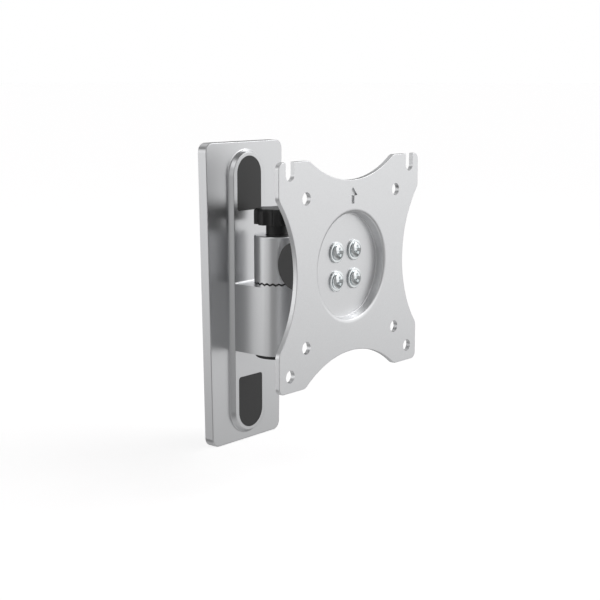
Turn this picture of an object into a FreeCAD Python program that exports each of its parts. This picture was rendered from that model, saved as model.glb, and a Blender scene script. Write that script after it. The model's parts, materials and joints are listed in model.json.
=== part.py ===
# Television wall mount: cast wall bracket, toothed swivel joint clamped by a knob,
# tilting head and a pressed plate with the 75 and 100 mm hole patterns.
# Millimetres. X is to the right, Y goes into the wall, Z is up. The origin is the
# centre of the bracket's back face, so the mount stands out of the wall along -Y.
import FreeCAD, Part
import math
import os
import re

import Sketcher
from FreeCAD import Placement, Rotation, Vector

# Heights are measured up from the middle of the wall plate, and the names that
# end in _out are distances from the wall.
SIZES = {
    # Wall plate, which narrows a little towards its lower end
    "plate_height": 168.3,
    "plate_top_width": 62.0,
    "plate_bottom_width": 56.0,
    "plate_thickness": 6.0,
    "plate_corner_radius": 5.0,
    "plate_edge_radius": 0.5,
    # Long oval boss on the plate
    "boss_margin": 4.35,
    "boss_width": 27.7,
    "boss_height": 2.9,
    "boss_draft": 25.0,
    "boss_foot_radius": 1.0,
    "boss_rim_radius": 0.4,
    # Covers pressed into the boss, with the wall screws under them
    "cover_width": 19.2,
    "cover_length": 29.6,
    "cover_margin": 3.4,
    "cover_corner_radius": 1.5,
    "cover_thickness": 1.9,
    "cover_gap": 0.15,
    "wall_screw_radius": 2.75,
    "wall_screw_head_radius": 5.5,
    "wall_screw_seat": 3.6,
    "wall_screw_spacing": 14.0,
    # Lug and lower barrel of the swivel
    "swivel_out": 28.9,
    "barrel_radius": 12.5,
    "lug_top": 6.8,
    "lug_bottom": -30.9,
    "lug_root_radius": 1.2,
    # Toothed faces of the swivel
    "seam_height": 8.7,
    "tooth_count": 24,
    "tooth_depth": 0.9,
    "tooth_slack": 0.15,
    "tooth_inner_radius": 7.2,
    # Clamp: bush, spring, stud, nut and knob on the swivel axis
    "stud_radius": 4.0,
    "stud_end": -29.5,
    "stud_grip": 6.0,
    "stud_chamfer": 0.8,
    "bush_radius": 6.0,
    "bush_bottom": -4.9,
    "fit_gap": 0.05,
    "free_gap": 0.3,
    "spring_room": 7.0,
    "spring_wire": 0.9,
    "spring_radius": 5.1,
    "spring_turns": 4,
    "nut_width": 13.0,
    "nut_height": 6.5,
    "cap_plug_length": 3.6,
    "cap_radius": 12.0,
    "cap_thickness": 1.8,
    "cap_wall": 1.5,
    "cap_edge_radius": 0.6,
    "washer_radius": 6.3,
    "washer_thickness": 1.2,
    "collar_radius": 5.95,
    "collar_height": 5.9,
    "knob_radius": 12.5,
    "knob_height": 8.6,
    "knob_lobes": 8,
    "knob_turned": -4.0,
    "flute_radius": 3.6,
    "flute_depth": 1.8,
    "lobe_edge_radius": 0.9,
    "knob_edge_radius": 1.9,
    # Head with the upper barrel and the tongue for the tilt
    "knuckle_top": 34.6,
    "bush_roof": 2.2,
    "head_edge_radius": 0.8,
    "tilt_out": 53.3,
    "tilt_height": 20.5,
    "tongue_radius": 12.0,
    "neck_height": 19.0,
    # Tilt axle and its caps
    "tilt_bolt_radius": 3.0,
    "bolt_head_radius": 5.5,
    "bolt_head_height": 2.6,
    "bolt_head_edge": 1.5,
    "bolt_socket": 4.0,
    "bolt_socket_depth": 2.0,
    "tilt_nut_width": 10.0,
    "tilt_cap_radius": 13.1,
    "tilt_cap_thickness": 1.2,
    "tilt_cap_edge_radius": 0.3,
    "tilt_cap_gap": 0.1,
    "tilt_plug_radius": 7.6,
    "tilt_plug_length": 1.8,
    "tilt_bush_wall": 1.9,
    "friction_washer_radius": 9.0,
    "friction_washer_thickness": 0.45,
    # Tilting block, a fork with two round ears
    "ear_radius": 13.0,
    "ear_thickness": 5.0,
    "slot_gap": 2.9,
    "flange_size": 34.0,
    "flange_corner_radius": 4.0,
    "flange_thickness": 5.0,
    # Plate for the television
    "tv_plate_height": 22.1,
    "tv_plate_size": 116.8,
    "tv_plate_top": 56.1,
    "sheet": 2.5,
    "sheet_edge_radius": 0.35,
    "corner_count": 4,
    "waist_radius": 60.0,
    "waist_width": 89.5,
    "waist_blend": 5.0,
    "tv_corner_radius": 3.5,
    "vesa_small": 75.0,
    "vesa_large": 100.0,
    "tv_hole_radius": 3.25,
    "recess_radius": 29.3,
    "recess_floor_radius": 26.8,
    "recess_depth": 5.0,
    "recess_step": 0.6,
    "recess_rim_radius": 1.0,
    # Screws that hold the plate
    "screw_spacing": 15.0,
    "screw_radius": 2.5,
    "screw_head_radius": 4.2,
    "screw_head_height": 2.7,
    "screw_crown_radius": 1.6,
    "screw_cross_width": 1.0,
    "screw_cross_length": 5.0,
    "screw_cross_depth": 1.7,
    "screw_washer_radius": 5.3,
    "screw_washer_thickness": 1.0,
    # Arrow pressed into the plate, pointing up
    "arrow_tip": 41.1,
    "arrow_wing": 3.8,
    "arrow_shoulder": 36.6,
    "arrow_tail": 32.5,
    "arrow_stem": 2.4,
    "arrow_depth": 0.9,
}

# Sizes that follow from the ones above
DERIVED = {
    "boss_out": "plate_thickness + boss_height",
    "boss_length": "plate_height - 2 * boss_margin",
    "cover_outer_end": "boss_length / 2 - cover_margin",
    "cover_inner_end": "cover_outer_end - cover_length",
    "cover_floor_out": "boss_out - cover_thickness",
    "cover_middle": "(cover_outer_end + cover_inner_end) / 2",
    "lower_crest": "seam_height - tooth_slack / 2",
    "upper_crest": "seam_height + tooth_slack / 2",
    "tooth_slope": "tooth_depth / (barrel_radius * tan(180 / tooth_count))",
    "bush_top": "knuckle_top - washer_thickness - bush_roof",
    "bore_radius": "bush_radius + fit_gap",
    "nut_bottom": "lug_bottom + cap_plug_length + free_gap",
    "nut_top": "nut_bottom + nut_height",
    "relief_depth": "2 * tooth_depth",
    "notch_opening": "tooth_depth / 5",
    "collar_root": "collar_height + knob_height / 4",
    "fork_reach": "4 * ear_radius",
    "ear_out": "barrel_radius - tilt_cap_thickness",
    "slot_width": "2 * (ear_out - ear_thickness)",
    "tongue_width": "slot_width - 2 * (friction_washer_thickness + fit_gap)",
    "bolt_seat": "ear_out - bolt_head_height - free_gap",
    "dish_rim_radius": "recess_radius + sheet / 2",
    "dish_foot_radius": "recess_floor_radius + 3 * sheet / 4",
    "flange_back_out": "tilt_out + tongue_radius + slot_gap",
    "floor_back_out": "flange_back_out + flange_thickness",
    "floor_front_out": "floor_back_out + sheet",
    "tv_plate_out": "floor_front_out + recess_depth",
    "dish_middle_out": "tv_plate_out - sheet / 2",
    "tv_half": "tv_plate_size / 2",
}

NAME = re.compile(r"\b[a-z][a-z_]*\b")
NEAR = 1e-6

doc = FreeCAD.newDocument("TelevisionMount")
sheet = doc.addObject("Spreadsheet::Sheet", "Sizes")
nodes = []


def fill_sheet():
    for row, (alias, value) in enumerate(SIZES.items(), start=1):
        sheet.set(f"A{row}", alias.replace("_", " "))
        sheet.set(f"B{row}", str(value))
        sheet.setAlias(f"B{row}", alias)
    doc.recompute()


def formula(text):
    """Writes out derived sizes and points the rest at the sheet."""
    def swap(match):
        word = match.group()
        if word in DERIVED:
            return "(" + formula(DERIVED[word]) + ")"
        if word in SIZES:
            return "Sizes." + word
        return word
    return NAME.sub(swap, text)


def bind(item, path, text):
    item.setExpression(path, formula(text))


def new_body(label):
    body = doc.addObject("PartDesign::Body", label)
    body.Label = label
    return body


def node(item, x="0", y="0", z="0"):
    """Keeps a finished piece for the export and gives it its place."""
    for axis, text in (("x", x), ("y", y), ("z", z)):
        if text != "0":
            bind(item, f"Placement.Base.{axis}", text)
    nodes.append(item)
    return item


def origin_feature(body, role):
    return next(f for f in body.Origin.OriginFeatures if f.Role == role)


def sketch_on(body, name, plane, x="0", y="0", out="0"):
    """A sketch on a plane of the body, moved by x, y in the plane and out along its normal."""
    sketch = body.newObject("Sketcher::SketchObject", f"{body.Name}_{name}")
    sketch.AttachmentSupport = [(origin_feature(body, plane), "")]
    sketch.MapMode = "FlatFace"
    for axis, text in (("x", x), ("y", y), ("z", out)):
        if text != "0":
            bind(sketch, f"AttachmentOffset.Base.{axis}", text)
    return sketch


def fix(sketch, kind, geometry, point, text):
    """Measures a point from the sketch's origin; it stays where drawn until the sheet is read."""
    drawn = sketch.getPoint(geometry, point)
    start = drawn.x if kind == "DistanceX" else drawn.y
    index = sketch.addConstraint(Sketcher.Constraint(kind, -1, 1, geometry, point, start))
    bind(sketch, f"Constraints[{index}]", text)


def fix_point(sketch, geometry, point, x, y):
    fix(sketch, "DistanceX", geometry, point, x)
    fix(sketch, "DistanceY", geometry, point, y)


def add_circle(sketch, radius, x="0", y="0"):
    index = sketch.addGeometry(Part.Circle(Vector(1, 1, 0), Vector(0, 0, 1), 1.0))
    rule = sketch.addConstraint(Sketcher.Constraint("Radius", index, 1.0))
    bind(sketch, f"Constraints[{rule}]", radius)
    fix_point(sketch, index, 3, x, y)


def add_polygon(sketch, corners):
    """Closed outline through corners given as pairs of formulas."""
    count = len(corners)
    ring = [Vector(math.cos(2 * math.pi * k / count), math.sin(2 * math.pi * k / count), 0)
            for k in range(count)]
    first = sketch.GeometryCount
    for k in range(count):
        sketch.addGeometry(Part.LineSegment(ring[k], ring[(k + 1) % count]))
    for k, (x, y) in enumerate(corners):
        previous = first + (k - 1) % count
        sketch.addConstraint(Sketcher.Constraint("Coincident", previous, 2, first + k, 1))
        fix_point(sketch, first + k, 1, x, y)


def add_rectangle(sketch, x0, x1, y0, y1):
    add_polygon(sketch, [(x0, y0), (x1, y0), (x1, y1), (x0, y1)])


def add_centred_rectangle(sketch, width, height):
    add_rectangle(sketch, f"-({width}) / 2", f"({width}) / 2", f"-({height}) / 2", f"({height}) / 2")


def add_hexagon(sketch, width):
    """Hexagon of the given width across its flats."""
    corner = f"({width}) / 2 / cos(30)"
    add_polygon(sketch, [(f"{corner} * cos({60 * k})", f"{corner} * sin({60 * k})") for k in range(6)])


def add_obround(sketch, width, length):
    """Upright outline with a half circle at both ends."""
    upper = Part.ArcOfCircle(Part.Circle(Vector(0, 1, 0), Vector(0, 0, 1), 1.0), 0, math.pi)
    lower = Part.ArcOfCircle(Part.Circle(Vector(0, -1, 0), Vector(0, 0, 1), 1.0), math.pi, 2 * math.pi)
    top = sketch.addGeometry(upper)
    left = sketch.addGeometry(Part.LineSegment(Vector(-1, 1, 0), Vector(-1, -1, 0)))
    bottom = sketch.addGeometry(lower)
    right = sketch.addGeometry(Part.LineSegment(Vector(1, -1, 0), Vector(1, 1, 0)))
    loop = [(top, 2, left, 1), (left, 2, bottom, 1), (bottom, 2, right, 1), (right, 2, top, 1)]
    for ends in loop:
        sketch.addConstraint(Sketcher.Constraint("Tangent", *ends))
    for arc, sign in ((top, ""), (bottom, "-")):
        rule = sketch.addConstraint(Sketcher.Constraint("Radius", arc, 1.0))
        bind(sketch, f"Constraints[{rule}]", f"({width}) / 2")
        fix_point(sketch, arc, 3, "0", f"{sign}({length} - ({width})) / 2")


def pad(body, name, sketch, length, back=False, both=False, draft=None):
    item = body.newObject("PartDesign::Pad", f"{body.Name}_{name}")
    item.Profile = sketch
    item.Reversed = back
    item.Midplane = both
    bind(item, "Length", length)
    if draft:
        bind(item, "TaperAngle", f"-({draft})")
    return item


def pocket(body, name, sketch, length, back=False, both=False):
    item = body.newObject("PartDesign::Pocket", f"{body.Name}_{name}")
    item.Profile = sketch
    item.Reversed = back
    item.Midplane = both
    bind(item, "Length", length)
    return item


def revolve(body, name, sketch, axis, groove=False):
    kind = "PartDesign::Groove" if groove else "PartDesign::Revolution"
    item = body.newObject(kind, f"{body.Name}_{name}")
    item.Profile = sketch
    item.ReferenceAxis = (sketch, [axis])
    item.Angle = 360.0
    return item


def repeat_round(body, name, features, sketch, count):
    """Repeats features round the normal of a sketch."""
    item = body.newObject("PartDesign::PolarPattern", f"{body.Name}_{name}")
    item.Originals = features
    item.Axis = (sketch, ["N_Axis"])
    item.Angle = 360.0
    bind(item, "Occurrences", count)
    body.Tip = item
    return item


def mirror(body, name, features, plane):
    item = body.newObject("PartDesign::Mirrored", f"{body.Name}_{name}")
    item.Originals = features
    item.MirrorPlane = (origin_feature(body, plane), [""])
    body.Tip = item
    return item


def dress(body, name, kind, size, wanted):
    """Fillet or Chamfer on the edges of the body that the test picks."""
    doc.recompute()
    base = body.Tip
    edges = [f"Edge{k}" for k, edge in enumerate(base.Shape.Edges, start=1) if wanted(edge)]
    if not edges:
        raise RuntimeError(f"{body.Label}: no edge for {name}")
    item = body.newObject(f"PartDesign::{kind}", f"{body.Name}_{name}")
    item.Base = (base, edges)
    bind(item, "Radius" if kind == "Fillet" else "Size", size)
    return item


def along(edge, direction):
    """True for a straight edge that runs along the given direction."""
    if not isinstance(edge.Curve, Part.Line):
        return False
    return abs(abs(edge.tangentAt(edge.FirstParameter).dot(direction)) - 1.0) < NEAR


def is_circle(edge, radius):
    return isinstance(edge.Curve, Part.Circle) and abs(edge.Curve.Radius - radius) < NEAR


def lies_at(edge, axis, place):
    """True for an edge that lies flat in the plane across an axis at that place."""
    box = edge.BoundBox
    low = getattr(box, f"{axis}Min")
    high = getattr(box, f"{axis}Max")
    return abs(low - place) < NEAR and abs(high - place) < NEAR


def tooth_ring(body, crest, rises, turn):
    """Cuts V notches that all point at the swivel axis into a flat ring.

    The flanks of a notch are planes through one point on the axis, at half the
    tooth depth, so two rings with the same teeth close face to face.
    """
    sign = "" if rises else "-"
    middle = f"({crest}) - ({sign}tooth_depth / 2)"
    open_end = f"({crest}) + ({sign}notch_opening)"
    sections = []
    spans = {
        "notch_inner": "tooth_inner_radius - 2 * free_gap",
        "notch_outer": "barrel_radius + free_gap"}
    for name, radius in spans.items():
        sketch = sketch_on(body, name, "XZ_Plane", x=f"({radius}) * sin({turn})",
                           out=f"swivel_out + ({radius}) * cos({turn})")
        sketch.AttachmentOffset = Placement(Vector(), Rotation(Vector(0, 1, 0), 1.0))
        bind(sketch, "AttachmentOffset.Rotation.Angle", turn)
        root = f"{middle} - ({sign}tooth_depth * ({radius}) / (2 * barrel_radius))"
        reach = f"abs(({open_end}) - ({root})) / tooth_slope"
        corners = [("0", root), (reach, open_end), (f"-({reach})", open_end)]
        add_polygon(sketch, corners if rises else corners[::-1])
        sections.append(sketch)
    notch = body.newObject("PartDesign::SubtractiveLoft", f"{body.Name}_notch")
    notch.Profile = sections[0]
    notch.Sections = [sections[1]]
    notch.Ruled = True
    return notch


def wall_bracket():
    """One casting: tapering plate, oval boss, lug and lower barrel with its teeth."""
    body = new_body("wall_bracket")
    outline = sketch_on(body, "outline", "XZ_Plane")
    add_polygon(outline, [
        ("-plate_bottom_width / 2", "-plate_height / 2"),
        ("plate_bottom_width / 2", "-plate_height / 2"),
        ("plate_top_width / 2", "plate_height / 2"),
        ("-plate_top_width / 2", "plate_height / 2")])
    pad(body, "plate", outline, "plate_thickness")
    dress(body, "corners", "Fillet", "plate_corner_radius", lambda e: along(e, Vector(0, 1, 0)))
    plate_front = -SIZES["plate_thickness"]
    boss_front = plate_front - SIZES["boss_height"]
    dress(body, "front_edge", "Fillet", "plate_edge_radius", lambda e: lies_at(e, "Y", plate_front))
    oval = sketch_on(body, "oval", "XZ_Plane", out="plate_thickness")
    add_obround(oval, "boss_width", "boss_length")
    pad(body, "boss", oval, "boss_height", draft="boss_draft")

    def round_boss_foot(edge):
        centre = edge.BoundBox.Center
        inside = SIZES["plate_height"] / 2 - SIZES["boss_margin"]
        return (lies_at(edge, "Y", plate_front) and abs(centre.x) < SIZES["boss_width"]
                and abs(centre.z) < inside)

    dress(body, "boss_foot", "Fillet", "boss_foot_radius", round_boss_foot)
    dress(body, "boss_rim", "Fillet", "boss_rim_radius", lambda e: lies_at(e, "Y", boss_front))
    lug = sketch_on(body, "lug_plan", "XY_Plane", out="lug_bottom")
    add_rectangle(lug, "-barrel_radius", "barrel_radius", "-swivel_out", "-plate_thickness")
    pad(body, "lug", lug, "lug_top - (lug_bottom)")
    dress(body, "lug_root", "Fillet", "lug_root_radius",
          lambda e: lies_at(e, "Y", boss_front) and lies_at(e, "Z", SIZES["lug_top"]))
    barrel = sketch_on(body, "barrel_plan", "XY_Plane", y="-swivel_out", out="lug_bottom")
    add_circle(barrel, "barrel_radius")
    pad(body, "barrel", barrel, "lower_crest - (lug_bottom)")
    relief = sketch_on(body, "relief_plan", "XY_Plane", y="-swivel_out", out="lower_crest")
    add_circle(relief, "tooth_inner_radius")
    pocket(body, "relief", relief, "relief_depth")
    notch = tooth_ring(body, "lower_crest", True, "180 / tooth_count")
    repeat_round(body, "teeth", [notch], barrel, "tooth_count")
    bore = sketch_on(body, "bore_plan", "XY_Plane", y="-swivel_out", out="bush_bottom - spring_room")
    add_circle(bore, "bore_radius")
    pocket(body, "bore", bore, "lower_crest - (bush_bottom) + spring_room", back=True)
    way = sketch_on(body, "stud_way_plan", "XY_Plane", y="-swivel_out", out="lug_bottom")
    add_circle(way, "stud_radius + free_gap")
    pocket(body, "stud_way", way, "lower_crest - (lug_bottom)", back=True)
    seat = sketch_on(body, "nut_seat_plan", "XY_Plane", y="-swivel_out", out="lug_bottom")
    add_hexagon(seat, "nut_width + 2 * cover_gap")
    pocket(body, "nut_seat", seat, "nut_top - (lug_bottom)", back=True)
    window = sketch_on(body, "window_plan", "XZ_Plane", out="cover_floor_out")
    cover_outline(window, "cover_gap")
    cut_window = pocket(body, "window", window, "cover_thickness", back=True)
    heads = sketch_on(body, "screw_heads_plan", "XZ_Plane", y="cover_middle", out="wall_screw_seat")
    shanks = sketch_on(body, "screw_holes_plan", "XZ_Plane", y="cover_middle")
    for side in ("-", ""):
        add_circle(heads, "wall_screw_head_radius", y=f"{side}wall_screw_spacing / 2")
        add_circle(shanks, "wall_screw_radius", y=f"{side}wall_screw_spacing / 2")
    cut_heads = pocket(body, "screw_heads", heads, "cover_floor_out - wall_screw_seat", back=True)
    cut_holes = pocket(body, "screw_holes", shanks, "boss_out", back=True)
    mirror(body, "lower_end", [cut_window, cut_heads, cut_holes], "XY_Plane")
    side = SIZES["cover_width"] / 2 + SIZES["cover_gap"]
    dress(body, "window_corners", "Fillet", "cover_corner_radius + cover_gap",
          lambda e: along(e, Vector(0, 1, 0)) and abs(abs(e.BoundBox.Center.x) - side) < NEAR)
    return node(body)


def cover_outline(sketch, gap):
    """Round at the far end and square at the near end, grown by a gap."""
    arc = Part.ArcOfCircle(Part.Circle(Vector(0, 1, 0), Vector(0, 0, 1), 1.0), 0, math.pi)
    top = sketch.addGeometry(arc)
    left = sketch.addGeometry(Part.LineSegment(Vector(-1, 1, 0), Vector(-1, 0, 0)))
    foot = sketch.addGeometry(Part.LineSegment(Vector(-1, 0, 0), Vector(1, 0, 0)))
    right = sketch.addGeometry(Part.LineSegment(Vector(1, 0, 0), Vector(1, 1, 0)))
    sketch.addConstraint(Sketcher.Constraint("Tangent", top, 2, left, 1))
    sketch.addConstraint(Sketcher.Constraint("Tangent", right, 2, top, 1))
    sketch.addConstraint(Sketcher.Constraint("Coincident", left, 2, foot, 1))
    sketch.addConstraint(Sketcher.Constraint("Coincident", foot, 2, right, 1))
    sketch.addConstraint(Sketcher.Constraint("Horizontal", foot))
    sketch.addConstraint(Sketcher.Constraint("Vertical", left))
    sketch.addConstraint(Sketcher.Constraint("Vertical", right))
    rule = sketch.addConstraint(Sketcher.Constraint("Radius", top, 1.0))
    bind(sketch, f"Constraints[{rule}]", f"cover_width / 2 + {gap}")
    fix_point(sketch, top, 3, "0", "cover_outer_end - cover_width / 2")
    fix(sketch, "DistanceY", foot, 1, f"cover_inner_end - {gap}")


def cover(label, turn):
    """Plastic cover over two wall screws; the lower one is the upper one turned round."""
    body = new_body(label)
    outline = sketch_on(body, "outline", "XZ_Plane", out="cover_floor_out")
    cover_outline(outline, "0")
    pad(body, "shell", outline, "cover_thickness")
    doc.recompute()
    near_end = body.Shape.BoundBox.ZMin
    dress(body, "corners", "Fillet", "cover_corner_radius",
          lambda e: along(e, Vector(0, 1, 0)) and lies_at(e, "Z", near_end))
    body.Placement = Placement(Vector(), Rotation(Vector(0, 1, 0), turn))
    return node(body)


def clamp_nut():
    body = new_body("clamp_nut")
    plan = sketch_on(body, "plan", "XY_Plane")
    add_hexagon(plan, "nut_width")
    add_circle(plan, "stud_radius + fit_gap")
    pad(body, "blank", plan, "nut_height")
    return node(body, y="-swivel_out", z="nut_bottom")


def bottom_cap():
    """Black plug: a disc under the barrel and a ring that grips the nut pocket."""
    body = new_body("bottom_cap")
    disc = sketch_on(body, "disc_plan", "XY_Plane")
    add_circle(disc, "cap_radius")
    pad(body, "disc", disc, "cap_thickness", back=True)
    ring = sketch_on(body, "ring_plan", "XY_Plane")
    add_circle(ring, "nut_width / 2")
    add_circle(ring, "nut_width / 2 - cap_wall")
    pad(body, "ring", ring, "cap_plug_length")
    rim = SIZES["cap_radius"]
    bottom = -SIZES["cap_thickness"]
    dress(body, "edge", "Fillet", "cap_edge_radius", lambda e: is_circle(e, rim) and lies_at(e, "Z", bottom))
    return node(body, y="-swivel_out", z="lug_bottom")


def turned_tube(label, outer, inner, length, y, z):
    """Plain tube that stands on the swivel axis."""
    body = new_body(label)
    plan = sketch_on(body, "plan", "XY_Plane")
    add_circle(plan, outer)
    add_circle(plan, inner)
    pad(body, "wall", plan, length)
    return node(body, y=y, z=z)


def lift_spring():
    """Coil spring between the step in the lower bore and the bush."""
    body = new_body("lift_spring")
    wire = sketch_on(body, "wire", "XZ_Plane")
    add_circle(wire, "spring_wire / 2", x="spring_radius", y="spring_wire / 2")
    coil = body.newObject("PartDesign::AdditiveHelix", "lift_spring_coil")
    coil.Profile = wire
    coil.ReferenceAxis = (wire, ["V_Axis"])
    coil.Mode = "height-turns-angle"
    bind(coil, "Height", "spring_room - spring_wire")
    bind(coil, "Turns", "spring_turns")
    return node(body, y="-swivel_out", z="bush_bottom - spring_room")


def clamp_stud():
    body = new_body("clamp_stud")
    plan = sketch_on(body, "plan", "XY_Plane")
    add_circle(plan, "stud_radius")
    pad(body, "shank", plan, "knuckle_top + collar_height + stud_grip - (stud_end)")
    rim = SIZES["stud_radius"]
    dress(body, "point", "Chamfer", "stud_chamfer", lambda e: is_circle(e, rim) and lies_at(e, "Z", 0))
    return node(body, y="-swivel_out", z="stud_end")


def clamp_knob():
    """Eight-lobed knob on a round collar, with a blind hole for the stud."""
    body = new_body("clamp_knob")
    grip = sketch_on(body, "grip_plan", "XY_Plane", out="collar_height")
    add_circle(grip, "knob_radius")
    pad(body, "grip", grip, "knob_height")
    flute = sketch_on(body, "flute_plan", "XY_Plane", out="collar_height")
    reach = "knob_radius - flute_depth + flute_radius"
    add_circle(flute, "flute_radius", x=f"({reach}) * cos(180 / knob_lobes)",
               y=f"({reach}) * sin(180 / knob_lobes)")
    cut = pocket(body, "flute", flute, "knob_height", back=True)
    repeat_round(body, "flutes", [cut], grip, "knob_lobes")
    dress(body, "lobe_edges", "Fillet", "lobe_edge_radius", lambda e: along(e, Vector(0, 0, 1)))
    top = SIZES["collar_height"] + SIZES["knob_height"]
    dress(body, "crown", "Fillet", "knob_edge_radius", lambda e: lies_at(e, "Z", top))
    collar = sketch_on(body, "collar_plan", "XY_Plane")
    add_circle(collar, "collar_radius")
    pad(body, "collar", collar, "collar_root")
    hole = sketch_on(body, "hole_plan", "XY_Plane")
    add_circle(hole, "stud_radius + fit_gap")
    pocket(body, "hole", hole, "collar_height + stud_grip", back=True)
    body.Placement = Placement(Vector(), Rotation(Vector(0, 0, 1), 1.0))
    bind(body, "Placement.Rotation.Angle", "knob_turned")
    return node(body, y="-swivel_out", z="knuckle_top")


def swivel_head():
    """Upper barrel with teeth under it, and a tongue with a round end for the tilt."""
    body = new_body("swivel_head")
    ring = sketch_on(body, "ring_plan", "XY_Plane", y="-swivel_out", out="upper_crest")
    add_circle(ring, "barrel_radius")
    pad(body, "knuckle", ring, "knuckle_top - upper_crest")
    top = SIZES["knuckle_top"]
    dress(body, "top_edge", "Fillet", "head_edge_radius", lambda e: lies_at(e, "Z", top))
    relief = sketch_on(body, "relief_plan", "XY_Plane", y="-swivel_out", out="upper_crest")
    add_circle(relief, "tooth_inner_radius")
    pocket(body, "relief", relief, "relief_depth", back=True)
    notch = tooth_ring(body, "upper_crest", False, "0")
    repeat_round(body, "teeth", [notch], ring, "tooth_count")
    neck = sketch_on(body, "neck_side", "YZ_Plane", x="-tilt_out", y="tilt_height")
    add_rectangle(neck, "0", "tilt_out - swivel_out", "-neck_height / 2", "neck_height / 2")
    pad(body, "neck", neck, "tongue_width", both=True)
    end = sketch_on(body, "tongue_side", "YZ_Plane", x="-tilt_out", y="tilt_height")
    add_circle(end, "tongue_radius")
    pad(body, "tongue", end, "tongue_width", both=True)
    eye = sketch_on(body, "eye_side", "YZ_Plane", x="-tilt_out", y="tilt_height")
    add_circle(eye, "tilt_bolt_radius + tilt_bush_wall + fit_gap")
    pocket(body, "eye", eye, "slot_width", both=True)
    bore = sketch_on(body, "bore_plan", "XY_Plane", y="-swivel_out", out="upper_crest")
    add_circle(bore, "bore_radius")
    pocket(body, "bore", bore, "bush_top - upper_crest", back=True)
    way = sketch_on(body, "stud_way_plan", "XY_Plane", y="-swivel_out", out="knuckle_top")
    add_circle(way, "stud_radius + free_gap")
    pocket(body, "stud_way", way, "knuckle_top - upper_crest")
    sink = sketch_on(body, "washer_sink_plan", "XY_Plane", y="-swivel_out", out="knuckle_top")
    add_circle(sink, "washer_radius + free_gap")
    pocket(body, "washer_sink", sink, "washer_thickness")
    return node(body)


def tilt_cap(label, turn):
    """Dark disc that covers the outside of an ear, with a ring that grips its sink."""
    body = new_body(label)
    plan = sketch_on(body, "plan", "YZ_Plane", out="-barrel_radius")
    add_circle(plan, "tilt_cap_radius")
    pad(body, "disc", plan, "tilt_cap_thickness")
    face = -SIZES["barrel_radius"]
    dress(body, "edge", "Fillet", "tilt_cap_edge_radius", lambda e: lies_at(e, "X", face))
    plug = sketch_on(body, "plug_side", "YZ_Plane", out="-ear_out")
    add_circle(plug, "tilt_plug_radius")
    add_circle(plug, "tilt_plug_radius - cap_wall")
    pad(body, "plug", plug, "tilt_plug_length")
    body.Placement = Placement(Vector(), Rotation(Vector(0, 0, 1), turn))
    return node(body, y="-tilt_out", z="tilt_height")


def tilt_bolt():
    """Button-head bolt with a hexagon socket, lying along X through both ears."""
    body = new_body("tilt_bolt")
    head = sketch_on(body, "head_side", "YZ_Plane", out="-bolt_seat")
    add_circle(head, "bolt_head_radius")
    pad(body, "head", head, "bolt_head_height", back=True)
    outer = -(SIZES["barrel_radius"] - SIZES["tilt_cap_thickness"] - SIZES["free_gap"])
    rim = SIZES["bolt_head_radius"]
    dress(body, "button", "Fillet", "bolt_head_edge", lambda e: is_circle(e, rim) and lies_at(e, "X", outer))
    shank = sketch_on(body, "shank_side", "YZ_Plane", out="-bolt_seat")
    add_circle(shank, "tilt_bolt_radius")
    pad(body, "shank", shank, "2 * bolt_seat + bolt_head_height")
    socket = sketch_on(body, "socket_side", "YZ_Plane", out="-(bolt_seat + bolt_head_height)")
    add_hexagon(socket, "bolt_socket")
    pocket(body, "socket", socket, "bolt_socket_depth", back=True)
    return node(body, y="-tilt_out", z="tilt_height")


def tilt_nut():
    body = new_body("tilt_nut")
    side = sketch_on(body, "side", "YZ_Plane", out="bolt_seat")
    add_hexagon(side, "tilt_nut_width")
    add_circle(side, "tilt_bolt_radius + fit_gap")
    pad(body, "blank", side, "bolt_head_height")
    return node(body, y="-tilt_out", z="tilt_height")


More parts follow.
